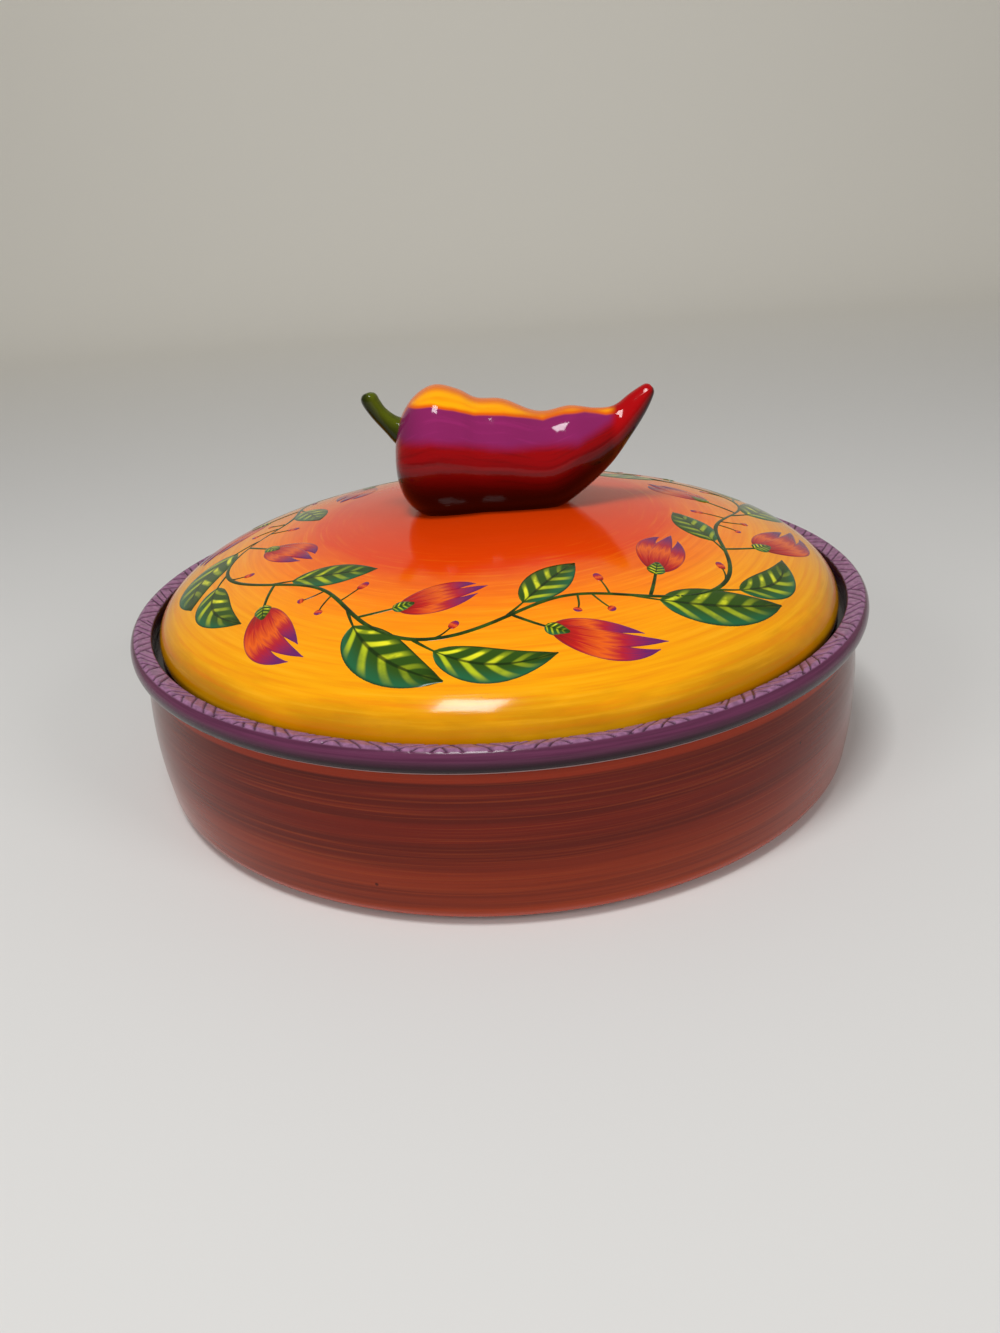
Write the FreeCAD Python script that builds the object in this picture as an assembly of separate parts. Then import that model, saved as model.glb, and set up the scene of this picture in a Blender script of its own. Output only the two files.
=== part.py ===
import FreeCAD, Part

import math
import os

V = FreeCAD.Vector

# A round earthenware warmer for a stack of tortillas: a low dish with a raised
# collar round its mouth, and a domed lid with a chilli pepper for its knob.
# Units are millimetres. The origin is the centre of the foot ring's standing
# face, Z points up along the dish's axis, and the pepper lies along X.

# Driving dimensions of the dish
RIM_R = 140.0
WALL_TOP_R = 134.5
WALL_BELLY_R = 136.9
WALL_FOOT_R = 135.1
WALL_T = 6.8
FLOOR_T = 6.6
BASE_LIFT = 1.4
CORNER_R = 6.4
INNER_CORNER_R = 12.0
FOOT_OUT_R = 124.0
FOOT_IN_R = 115.0
FOOT_RECESS = 1.6

# The ledge inside the mouth that carries the lid, and the collar round it
LEDGE_Z = 57.0
LEDGE_IN_R = 124.5
LEDGE_H = 4.5
NECK_SLOPE = 1.5
COLLAR_IN_R = 132.1
COLLAR_TOP_Z = 64.4
COLLAR_SLOPE = 1.1
COLLAR_HALF_H = 4.2
COLLAR_NOSE = 3.2
COLLAR_LAP = 1.0
EDGE_ROUND = 0.9

# Round stretches of a turned profile are laid out in this many short straights
CORNER_STEPS = 2
BELLY_STEPS = 2
INNER_CORNER_STEPS = 2
NOSE_STEPS = 2
DOME_STEPS = 5
UNDER_DOME_STEPS = 3

# The lid's dome is half an ellipse, level under the pepper's foot, and its edge
# rests on the ledge
DOME_R = 129.5
DOME_H = 35.4
DOME_BASE_Z = 60.4
CROWN_R = 22.0
LID_T = 6.2
SEAT_GAP = 0.3
LID_ROUND = 1.8

# The ring under the lid that keeps it central in the mouth
LOCATOR_T = 5.0
LOCATOR_DROP = 6.6
LOCATOR_ROUND = 1.5
LOCATOR_REACH = 8.0

# The pepper's skin above and below its length, from the shoulder to the tip.
# Each row is one cross-section: top point, bottom point, half breadth.
PEPPER_SECTIONS = [
    ((-34.6, 116.6), (-34.7, 111.2), 3.4),
    ((-33.6, 123.6), (-33.9, 105.0), 10.4),
    ((-30.6, 131.8), (-31.4, 98.4), 15.8),
    ((-25.0, 138.4), (-25.8, 93.0), 19.8),
    ((-17.8, 141.4), (-18.4, 91.0), 21.2),
    ((-9.6, 139.2), (-9.4, 90.8), 20.6),
    ((-3.0, 135.7), (-2.6, 91.2), 19.5),
    ((6.6, 134.6), (7.6, 91.0), 19.6),
    ((16.4, 130.2), (18.8, 91.4), 17.9),
    ((22.4, 129.2), (27.0, 93.2), 16.6),
    ((31.2, 130.6), (36.8, 99.8), 14.9),
    ((40.4, 129.2), (46.4, 108.4), 10.2),
    ((47.4, 129.6), (53.6, 117.8), 7.0),
    ((53.4, 133.6), (59.2, 126.2), 5.0),
    ((58.6, 136.6), (62.2, 132.6), 3.3),
    ((60.7, 136.6), (62.2, 135.0), 1.3),
]
FURROW_DEPTH = 0.06
FURROW_ANGLES = (35.0, 145.0, 270.0)
FURROW_WIDTH = 20.0
SECTION_SIDES = 20

# The stem: centre points along it and its radius at each
STEM_LINE = [
    ((-27.0, 122.2), 5.6),
    ((-31.6, 125.2), 5.2),
    ((-35.4, 128.2), 3.7),
    ((-39.0, 132.0), 2.95),
    ((-41.4, 135.8), 2.95),
    ((-42.3, 137.9), 3.0),
    ((-42.8, 139.0), 2.2),
]
STEM_SIDES = 10


def at(r, z):
    """A point of a turned profile, in the plane of X and Z."""
    return V(r, 0.0, z)


def line(p, q):
    return Part.makeLine(at(*p), at(*q))


def path(points):
    """Straight edges from each point of a turned profile to the next."""
    return [line(p, q) for p, q in zip(points, points[1:])]


def bend(centre, radii, start, end, steps):
    """Points along an oval's arc, between two angles in degrees."""
    points = []
    for i in range(steps + 1):
        a = math.radians(start + (end - start) * i / steps)
        points.append((centre[0] + radii[0] * math.cos(a), centre[1] + radii[1] * math.sin(a)))
    return points


def bow(low, high, out, steps):
    """Points from low to high that swell outwards by a set amount halfway."""
    points = []
    for i in range(steps + 1):
        t = i / steps
        swell = out * 4 * t * (1 - t)
        points.append((low[0] + (high[0] - low[0]) * t + swell, low[1] + (high[1] - low[1]) * t))
    return points


def dome_points(a, b, low, steps):
    """A dome's profile from its edge up to its level crown, and in to the axis."""
    crown = math.degrees(math.acos(CROWN_R / a))
    points = bend((0, low), (a, b), 0, crown, steps)
    return points + [(0, points[-1][1])]


def turned(points):
    """The solid that a closed profile sweeps round the dish's axis."""
    wire = Part.Wire(path(points + points[:1]))
    solid = Part.Face(wire).revolve(V(0, 0, 0), V(0, 0, 1), 360)
    if solid.Volume < 0:
        solid.reverse()
    return solid


def dish_bowl():
    """Floor, swelling wall, foot ring and the ledge inside the mouth."""
    wall_low = BASE_LIFT + CORNER_R
    floor_z = BASE_LIFT + FLOOR_T
    swell = WALL_BELLY_R - (WALL_TOP_R + WALL_FOOT_R) / 2
    inner_r = WALL_TOP_R - WALL_T
    neck_top = LEDGE_Z - LEDGE_H
    neck_low = neck_top - NECK_SLOPE * (inner_r - LEDGE_IN_R)
    inner_low = floor_z + INNER_CORNER_R
    corner = (WALL_FOOT_R - CORNER_R, wall_low)
    inner_corner = (inner_r - INNER_CORNER_R, inner_low)
    e = EDGE_ROUND
    points = [
        (0, FOOT_RECESS),
        (FOOT_IN_R - e, FOOT_RECESS),
        (FOOT_IN_R, 0),
        (FOOT_OUT_R, 0),
        (FOOT_OUT_R + e, BASE_LIFT),
    ]
    points += bend(corner, (CORNER_R, CORNER_R), -90, 0, CORNER_STEPS)
    points += bow(points.pop(), (WALL_TOP_R, LEDGE_Z), swell, BELLY_STEPS)
    points += [
        (LEDGE_IN_R + e, LEDGE_Z),
        (LEDGE_IN_R, LEDGE_Z - e),
        (LEDGE_IN_R, neck_top),
        (inner_r, neck_low),
    ]
    points += bend(inner_corner, (INNER_CORNER_R, INNER_CORNER_R), 0, -90, INNER_CORNER_STEPS)
    points.append((0, floor_z))
    return turned(points)


def rim_collar():
    """The thick collar luted on the wall's top, with a rounded nose outside."""
    e = EDGE_ROUND
    nose_r = RIM_R - COLLAR_NOSE
    mid_z = COLLAR_TOP_Z - COLLAR_HALF_H
    low_z = LEDGE_Z - COLLAR_LAP
    inner_z = COLLAR_TOP_Z - COLLAR_SLOPE
    points = [(COLLAR_IN_R, LEDGE_Z), (WALL_TOP_R, LEDGE_Z), (wall_r_at(low_z), low_z)]
    points += bend((nose_r, mid_z), (COLLAR_NOSE, mid_z - low_z), -90, 0, NOSE_STEPS)
    points.pop()
    points += bend((nose_r, mid_z), (COLLAR_NOSE, COLLAR_HALF_H), 0, 90, NOSE_STEPS)
    points += [(COLLAR_IN_R + e, inner_z), (COLLAR_IN_R, inner_z - e)]
    return turned(points)


def wall_r_at(z):
    """The wall's outside radius just under the collar, where it is straight."""
    low = (WALL_FOOT_R, BASE_LIFT + CORNER_R)
    swell = WALL_BELLY_R - (WALL_TOP_R + WALL_FOOT_R) / 2
    below, top = bow(low, (WALL_TOP_R, LEDGE_Z), swell, BELLY_STEPS)[-2:]
    return top[0] + (below[0] - top[0]) * (top[1] - z) / (top[1] - below[1])


def lid_dome():
    """The thin dome of the lid, with a flat edge that rests on the ledge."""
    seat = LEDGE_Z + SEAT_GAP
    inner_r = DOME_R - LID_T
    outside = dome_points(DOME_R, DOME_H, DOME_BASE_Z, DOME_STEPS)
    inside = dome_points(inner_r, DOME_H - LID_T, DOME_BASE_Z, UNDER_DOME_STEPS)
    edge = [(inner_r, seat), (DOME_R - LID_ROUND, seat), (DOME_R, seat + LID_ROUND)]
    return turned(edge + outside + inside[::-1])


def lid_locating_ring():
    """A strip of clay inside the lid's edge that hangs into the dish's mouth."""
    out_r = DOME_R - LID_T
    in_r = out_r - LOCATOR_T
    low = LEDGE_Z + SEAT_GAP - LOCATOR_DROP
    top = DOME_BASE_Z + LOCATOR_REACH
    c = LOCATOR_ROUND
    ring = turned([
        (in_r + c, low),
        (out_r - c, low),
        (out_r, low + c),
        (out_r, top + LOCATOR_T),
        (in_r, top),
        (in_r, low + c),
    ])
    inside = dome_points(out_r, DOME_H - LID_T, DOME_BASE_Z, UNDER_DOME_STEPS)
    return ring.common(turned([(0, low), (out_r, low)] + inside))


def dome_core():
    """The dome's outside as a full solid, which the pepper is cut to sit on."""
    outside = dome_points(DOME_R, DOME_H, DOME_BASE_Z, DOME_STEPS)
    return turned([(0, DOME_BASE_Z)] + outside)


def furrowed(degrees):
    """How far out the skin stands at an angle, drawn in along its furrows."""
    pull = sum(math.exp(-((degrees - a) / FURROW_WIDTH) ** 2) for a in FURROW_ANGLES)
    return 1.0 - FURROW_DEPTH * pull


def flat(points):
    """A flat face inside a closed polygon."""
    return Part.Face(Part.makePolygon(points + points[:1]))


def faceted_loft(rings):
    """A closed solid through rings of points, with flat facets between them."""
    faces = [flat(rings[0]), flat(rings[-1])]
    for near, far in zip(rings, rings[1:]):
        for i in range(len(near)):
            j = (i + 1) % len(near)
            faces.append(flat([near[i], near[j], far[j]]))
            faces.append(flat([near[i], far[j], far[i]]))
    solid = Part.Solid(Part.Shell(faces))
    if solid.Volume < 0:
        solid.reverse()
    return solid


def pepper_section(top, bottom, half_breadth):
    """Points round one cross-section of the pepper."""
    centre = V((top[0] + bottom[0]) / 2, 0, (top[1] + bottom[1]) / 2)
    rise = V((top[0] - bottom[0]) / 2, 0, (top[1] - bottom[1]) / 2)
    side = V(0, half_breadth, 0)
    points = []
    for i in range(SECTION_SIDES):
        degrees = 360.0 * i / SECTION_SIDES
        a = math.radians(degrees)
        k = furrowed(degrees)
        points.append(centre + side * (math.cos(a) * k) + rise * (math.sin(a) * k))
    return points


def pepper_skin():
    """The whole pepper, before its underside is cut to the dome."""
    return faceted_loft([pepper_section(*row) for row in PEPPER_SECTIONS])


def stem_section(index):
    """Points of a ring round the stem's line, square to it."""
    point, radius = STEM_LINE[index]
    before = STEM_LINE[max(index - 1, 0)][0]
    after = STEM_LINE[min(index + 1, len(STEM_LINE) - 1)][0]
    along = (at(*after) - at(*before)).normalize()
    side = V(0, 1, 0)
    up = side.cross(along)
    points = []
    for i in range(STEM_SIDES):
        a = 2 * math.pi * i / STEM_SIDES
        points.append(at(*point) + (side * math.cos(a) + up * math.sin(a)) * radius)
    return points


def pepper_stem(skin):
    """The bent stem, thick where it leaves the shoulder and blunt at its end."""
    stem = faceted_loft([stem_section(i) for i in range(len(STEM_LINE))])
    return stem.cut(skin)


def only_solid(shape):
    """The largest solid of a cut, without the slivers beside it."""
    return max(shape.Solids, key=lambda s: s.Volume)


def main():
    os.makedirs("parts", exist_ok=True)
    skin = pepper_skin()
    pieces = {
        "dish_bowl": dish_bowl(),
        "rim_collar": rim_collar(),
        "lid_dome": lid_dome(),
        "lid_locating_ring": lid_locating_ring(),
        "pepper_knob": skin.cut(dome_core()),
        "pepper_stem": pepper_stem(skin),
    }
    for name, shape in pieces.items():
        solid = only_solid(shape)
        solid.exportStep("parts/" + name + ".step")
        box = solid.BoundBox
        print(name, solid.isValid(), round(solid.Volume), len(shape.Solids),
              [round(v, 2) for v in (box.XMin, box.YMin, box.ZMin, box.XMax, box.YMax, box.ZMax)])


main()
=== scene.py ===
"""A glazed earthenware tortilla warmer: dish, relief collar, painted lid and pepper knob."""

import math
import random

import bpy
from bpy.props import FloatProperty, FloatVectorProperty, IntProperty, PointerProperty
from mathutils import Matrix, Vector


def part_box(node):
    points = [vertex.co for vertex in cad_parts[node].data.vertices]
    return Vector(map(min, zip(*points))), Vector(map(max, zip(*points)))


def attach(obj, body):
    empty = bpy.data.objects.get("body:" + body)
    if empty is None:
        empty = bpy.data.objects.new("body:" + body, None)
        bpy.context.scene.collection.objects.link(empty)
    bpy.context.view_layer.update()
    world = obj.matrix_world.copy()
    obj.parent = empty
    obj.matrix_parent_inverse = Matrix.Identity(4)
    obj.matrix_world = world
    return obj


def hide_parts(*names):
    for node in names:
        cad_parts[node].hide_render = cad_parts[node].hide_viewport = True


bl_info = {
    "name": "Tortilla Warmer",
    "version": (1, 0, 0),
    "blender": (4, 5, 0),
    "location": "3D Viewport > Sidebar > Warmer",
    "description": "Makes the glazed pieces of a tortilla warmer around its packed model",
    "category": "Add Mesh",
}

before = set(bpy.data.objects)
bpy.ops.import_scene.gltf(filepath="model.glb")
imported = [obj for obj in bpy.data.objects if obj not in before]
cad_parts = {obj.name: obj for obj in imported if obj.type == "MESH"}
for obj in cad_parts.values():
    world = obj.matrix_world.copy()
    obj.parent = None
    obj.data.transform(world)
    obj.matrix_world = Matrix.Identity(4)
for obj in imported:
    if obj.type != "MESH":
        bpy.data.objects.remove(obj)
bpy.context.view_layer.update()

MM = 0.001

# Turned sizes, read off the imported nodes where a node's box shows them
RIM_R = max(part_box("rim_collar")[1][:2])
COLLAR_LOW_Z, COLLAR_TOP_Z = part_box("rim_collar")[0][2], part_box("rim_collar")[1][2]
BELLY_R = max(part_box("dish_bowl")[1][:2])
LEDGE_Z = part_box("dish_bowl")[1][2]
DOME_R = max(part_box("lid_dome")[1][:2])
SEAT_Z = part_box("lid_dome")[0][2]
LOCATOR_LOW_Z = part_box("lid_locating_ring")[0][2]

# The dish's profile
WALL_TOP_R = 134.5 * MM
WALL_FOOT_R = 135.1 * MM
WALL_T = 6.8 * MM
FLOOR_Z = 8.0 * MM
BASE_LIFT = 1.4 * MM
CORNER_R = 6.4 * MM
INNER_CORNER_R = 12.0 * MM
FOOT_OUT_R = 124.0 * MM
FOOT_IN_R = 115.0 * MM
FOOT_RECESS = 1.6 * MM
LEDGE_IN_R = 124.5 * MM
NECK_H = 4.5 * MM
NECK_SLOPE = 1.5
EDGE = 0.9 * MM

# Steps round a turned piece, and how far pieces that touch stand apart
SEGMENTS = 256
CLEAR = 0.02 * MM

# The collar's profile: a band that slopes in, and a rounded nose
COLLAR_IN_R = 132.1 * MM
COLLAR_SLOPE = 1.1 * MM
COLLAR_HALF_H = 4.2 * MM
COLLAR_NOSE = 3.2 * MM
BAND_OUT_R = RIM_R - COLLAR_NOSE + 1.5 * MM

# The lid's profile
DOME_BASE_Z = 60.4 * MM
DOME_H = 35.3 * MM
LID_T = 6.2 * MM
LID_ROUND = 1.8 * MM
LOCATOR_T = 5.0 * MM
LOCATOR_TOP_Z = 68.0 * MM

# The pepper's cross-sections from shoulder to tip, in millimetres: a point of
# its top line, the matching point of its bottom line, and its half breadth
PEPPER_SECTIONS = (
    ((-34.6, 116.6), (-34.7, 111.2), 3.4),
    ((-33.6, 123.6), (-33.9, 105.0), 10.4),
    ((-30.6, 131.8), (-31.4, 98.4), 15.8),
    ((-25.0, 138.4), (-25.8, 93.0), 19.8),
    ((-17.8, 141.4), (-18.4, 91.0), 21.2),
    ((-9.6, 139.2), (-9.4, 90.8), 20.6),
    ((-3.0, 135.7), (-2.6, 91.2), 19.5),
    ((6.6, 134.6), (7.6, 91.0), 19.6),
    ((16.4, 130.2), (18.8, 91.4), 17.9),
    ((22.4, 129.2), (27.0, 93.2), 16.6),
    ((31.2, 130.6), (36.8, 99.8), 14.9),
    ((40.4, 129.2), (46.4, 108.4), 10.2),
    ((47.4, 129.6), (53.6, 117.8), 7.0),
    ((53.4, 133.6), (59.2, 126.2), 5.0),
    ((58.6, 136.6), (62.2, 132.6), 3.3),
    ((60.7, 136.6), (62.2, 135.0), 1.3),
)
FURROW_DEPTH = 0.06
FURROW_ANGLES = (35.0, 145.0, 270.0)
FURROW_WIDTH = 20.0

# The stem's line and its radius at each point, in millimetres
STEM_LINE = (
    ((-29.0, 123.4), 5.5),
    ((-31.6, 125.2), 5.1),
    ((-35.4, 128.2), 3.7),
    ((-39.0, 132.0), 3.15),
    ((-41.4, 135.8), 3.2),
    ((-42.3, 137.9), 3.15),
    ((-42.75, 139.2), 2.5),
    ((-42.95, 139.9), 1.3),
)

# Where the pepper's yellow meets its purple, and its purple its red: x and z in millimetres
YELLOW_LINE = ((-36.0, 134.6), (-26.2, 135.2), (-19.2, 135.9), (-11.6, 134.2), (-4.1, 131.6), (6.8, 130.7),
               (16.0, 128.5), (20.6, 127.5), (28.4, 128.9), (36.2, 129.0), (44.0, 127.5), (52.0, 128.0))
RED_LINE = ((-36.0, 123.6), (-30.4, 123.8), (-20.2, 124.3), (-9.4, 122.8), (1.4, 120.5), (17.1, 119.5),
            (32.8, 119.2), (42.3, 123.3), (52.0, 128.0))

# The photograph's view: its height and focal length in pixels, and the camera's
# place and turns round a point at the middle of the dish's foot
PHOTO_H = 1333
FOCAL_PX = 1100.0
CAMERA_DISTANCE = 0.4608
CAMERA_ELEVATION = 27.43
CAMERA_YAW = -0.114
CAMERA_PITCH = 3.049
CAMERA_ROLL = 3.746
SENSOR_MM = 36.0


def paint(r, g, b):
    """A colour given as on a paint chart, 0 to 255, as the linear one a shader takes."""
    linear = []
    for value in (r, g, b):
        s = value / 255
        linear.append(s / 12.92 if s <= 0.04045 else ((s + 0.055) / 1.055) ** 2.4)
    return (*linear, 1.0)


def chart(name, description, r, g, b):
    """A colour property with a paint-chart default."""
    return FloatVectorProperty(
        name=name, description=description, default=paint(r, g, b)[:3],
        min=0.0, max=1.0, size=3, subtype="COLOR",
    )


class WarmerSizes(bpy.types.PropertyGroup):
    relief_cells: IntProperty(
        name="Relief cells", description="Groups of slanted lines round the collar, half leaning each way",
        default=26, min=8, max=80, step=2,
    )
    relief_depth: FloatProperty(
        name="Relief depth", description="Depth of the collar's incised lines",
        default=0.45 * MM, min=0.0, max=2 * MM, unit="LENGTH", precision=5,
    )
    garland_repeats: IntProperty(
        name="Garland repeats", description="Repeats of the painted garland round the lid",
        default=6, min=3, max=12, step=3,
    )
    brush_lift: FloatProperty(
        name="Brush lift", description="Height of the painted strokes over the dome",
        default=0.16 * MM, min=0.0, max=1 * MM, unit="LENGTH", precision=5,
    )


class WarmerColours(bpy.types.PropertyGroup):
    wall: chart("Wall", "Brick-red glaze of the dish's wall", 90, 19, 5)
    wall_edge: chart("Wall edge", "Thin bright glaze under the collar and at the foot", 186, 60, 22)
    inside: chart("Inside", "Glaze inside the dish and under the lid", 214, 150, 52)
    clay: chart("Clay", "Bare fired clay of the foot ring", 206, 170, 134)
    collar: chart("Collar", "Lavender of the collar's band", 144, 99, 132)
    collar_nose: chart("Collar nose", "Plum purple of the rounded nose", 88, 42, 68)
    # Painted shade: plum black under the collar's nose and on the ledge beneath the lid's edge
    collar_painted_shade: chart("Collar shade", "Plum black under the nose", 34, 14, 24)
    lid_crown: chart("Lid crown", "Orange red round the knob", 216, 60, 4)
    lid_middle: chart("Lid middle", "Orange halfway down the dome", 250, 128, 0)
    lid_edge: chart("Lid edge", "Golden ochre at the dome's edge", 236, 160, 3)
    leaf: chart("Leaf", "Deep green of leaves and vine", 42, 70, 14)
    leaf_light: chart("Leaf light", "Yellow green of the leaves' lit lobes", 178, 190, 30)
    blossom: chart("Blossom", "Red of the buds", 186, 30, 26)
    blossom_tip: chart("Blossom tip", "Purple of the buds' tips", 104, 34, 96)
    pepper_top: chart("Pepper top", "Yellow along the pepper's back", 250, 166, 3)
    pepper_band: chart("Pepper band", "Purple band along the pepper", 130, 32, 88)
    pepper_red: chart("Pepper red", "Red of the pepper's side and horn", 142, 1, 5)
    # Maroon for the painted shade under the pepper and its horn, and for the dark streaks in its red
    pepper_shade_and_streaks: chart("Pepper belly", "Maroon of the pepper's belly", 32, 0, 1)
    stem: chart("Stem", "Olive green of the stem", 78, 88, 6)
    floor: chart("Floor", "Pale studio floor", 214, 213, 211)


def sizes():
    return bpy.context.scene.warmer_sizes


def colour(name):
    return (*getattr(bpy.context.scene.warmer_colours, name), 1.0)


def shade(name, factor):
    """A named colour made darker or lighter."""
    return (*(min(1.0, c * factor) for c in colour(name)[:3]), 1.0)


class Glaze:
    """A material built from nodes, with short calls for the ones used here."""

    IOR = 1.36
    SPECULAR = 0.34

    def __init__(self, name, roughness, coat=0.08, coat_roughness=0.04):
        self.material = bpy.data.materials.new(name)
        self.material.use_nodes = True
        self.tree = self.material.node_tree
        self.shader = self.tree.nodes["Principled BSDF"]
        self.shader.inputs["Roughness"].default_value = roughness
        self.shader.inputs["Coat Weight"].default_value = coat
        self.shader.inputs["Coat Roughness"].default_value = coat_roughness
        self.shader.inputs["IOR"].default_value = self.IOR
        self.shader.inputs["Specular IOR Level"].default_value = self.SPECULAR

    def node(self, kind, settings=None, **inputs):
        """A new node. An input is named by its label, or by its number after a low line."""
        made = self.tree.nodes.new("ShaderNode" + kind)
        for key, value in (settings or {}).items():
            setattr(made, key, value)
        for key, value in inputs.items():
            self.put(made.inputs[int(key[1:]) if key[0] == "_" else key.replace("_", " ")], value)
        return made

    def put(self, socket, value):
        if isinstance(value, bpy.types.NodeSocket):
            self.tree.links.new(value, socket)
        else:
            socket.default_value = value

    def math(self, operation, a, b=0.0):
        return self.node("Math", {"operation": operation}, _0=a, _1=b).outputs[0]

    def times(self, a, b):
        return self.math("MULTIPLY", a, b)

    def place(self):
        """X, Y and Z of a point, in the object's own frame."""
        spot = self.node("TexCoord").outputs["Object"]
        split = self.node("SeparateXYZ", _0=spot)
        return split.outputs[0], split.outputs[1], split.outputs[2]

    def radius(self, x, y):
        return self.math("SQRT", self.math("ADD", self.times(x, x), self.times(y, y)))

    def join(self, x, y, z):
        return self.node("CombineXYZ", _0=x, _1=y, _2=z).outputs[0]

    def attribute(self, name):
        return self.node("Attribute", {"attribute_name": name}).outputs["Fac"]

    def noise(self, vector, scale, detail=3.0, roughness=0.55):
        made = self.node("TexNoise", Vector=vector, Scale=scale, Detail=detail, Roughness=roughness)
        return made.outputs["Fac"]

    def fade(self, value, low, high, first=0.0, last=1.0):
        """Runs from first to last as value runs from low to high, and stays there."""
        made = self.node("MapRange", {"interpolation_type": "SMOOTHSTEP"}, Value=value)
        for index, bound in zip((1, 2, 3, 4), (low, high, first, last)):
            self.put(made.inputs[index], bound)
        return made.outputs[0]

    def mix(self, factor, a, b):
        made = self.node("Mix", {"data_type": "RGBA"})
        for index, value in ((0, factor), (6, a), (7, b)):
            self.put(made.inputs[index], value)
        return made.outputs[2]

    def ramp(self, value, stops):
        made = self.node("ValToRGB", Fac=value)
        elements = made.color_ramp.elements
        while len(elements) < len(stops):
            elements.new(0.5)
        for element, (position, tone) in zip(elements, stops):
            element.position = position
            element.color = tone
        return made.outputs["Color"]

    def bump(self, height, distance):
        made = self.node("Bump", Height=height, Distance=distance, Strength=1.0)
        self.put(self.shader.inputs["Normal"], made.outputs["Normal"])

    def finish(self, tone):
        self.put(self.shader.inputs["Base Color"], tone)
        return self.material


def ring_strokes(glaze, x, y, across, fine, round_scale):
    """Noise drawn out round the axis, like the marks of a brush held to a turning wheel."""
    r = glaze.math("MAXIMUM", glaze.radius(x, y), 1.0 * MM)
    cos = glaze.times(glaze.math("DIVIDE", x, r), round_scale)
    sin = glaze.times(glaze.math("DIVIDE", y, r), round_scale)
    return glaze.noise(glaze.join(glaze.times(across, fine), cos, sin), 1.0, 4.0, 0.6)


def specks(glaze, spot, scale, size):
    """Rare small dark pits: 1 inside a speck and 0 elsewhere."""
    cell = glaze.node("TexVoronoi", {"feature": "F1"}, Vector=spot, Scale=scale)
    near = glaze.fade(cell.outputs["Distance"], size * 0.6, size, 1.0, 0.0)
    pick = glaze.node("SeparateColor", _0=cell.outputs["Color"]).outputs[0]
    return glaze.times(near, glaze.math("GREATER_THAN", pick, 0.82))


def wall_glaze():
    g = Glaze("brick_wall_glaze", roughness=0.16)
    x, y, z = g.place()
    broad = ring_strokes(g, x, y, z, 300.0, 0.7)
    fine = ring_strokes(g, x, y, z, 1500.0, 1.4)
    tone = g.mix(g.fade(broad, 0.36, 0.70), shade("wall", 0.9), shade("wall", 1.35))
    tone = g.mix(g.fade(fine, 0.46, 0.72, 0.0, 0.55), tone, paint(140, 56, 18))
    low = g.times(g.fade(z, 4.0 * MM, 36.0 * MM, 1.0, 0.0), g.fade(broad, 0.3, 0.7, 0.35, 1.0))
    tone = g.mix(g.times(low, 0.75), tone, paint(158, 56, 18))
    foot_line = g.fade(z, 3.5 * MM, 7.5 * MM, 1.0, 0.0)
    neck_line = g.fade(z, COLLAR_LOW_Z - 4.8 * MM, COLLAR_LOW_Z - 3.9 * MM)
    edge = g.math("MAXIMUM", foot_line, g.times(neck_line, 0.5))
    tone = g.mix(g.times(edge, 0.85), tone, colour("wall_edge"))
    spot = g.join(x, y, z)
    tone = g.mix(g.times(specks(g, spot, 95.0, 0.07), 0.75), tone, shade("wall", 0.15))
    # Painted shade: the ledge's top, in the gap round the lid, darkened to plum black
    tone = g.mix(g.fade(z, LEDGE_Z - 0.4 * MM, LEDGE_Z - 0.1 * MM), tone, shade("collar_painted_shade", 0.5))
    g.bump(g.math("ADD", fine, g.times(broad, 1.5)), 0.06 * MM)
    return g.finish(tone)


def inside_glaze():
    g = Glaze("inside_glaze", roughness=0.22)
    x, y, z = g.place()
    strokes = ring_strokes(g, x, y, g.math("ADD", g.radius(x, y), z), 240.0, 2.0)
    tone = g.mix(g.fade(strokes, 0.35, 0.7), shade("inside", 0.86), shade("inside", 1.12))
    tone = g.mix(g.times(specks(g, g.join(x, y, z), 70.0, 0.06), 0.5), tone, shade("inside", 0.3))
    g.bump(strokes, 0.05 * MM)
    return g.finish(tone)


def bare_clay():
    g = Glaze("bare_clay", roughness=0.85, coat=0.0)
    x, y, z = g.place()
    spot = g.join(x, y, z)
    grain = g.noise(spot, 900.0, 4.0)
    cloud = g.noise(spot, 40.0, 3.0)
    tone = g.mix(g.fade(grain, 0.3, 0.7), shade("clay", 0.82), shade("clay", 1.08))
    tone = g.mix(g.times(cloud, 0.35), tone, shade("clay", 0.7))
    g.bump(grain, 0.08 * MM)
    return g.finish(tone)


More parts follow.
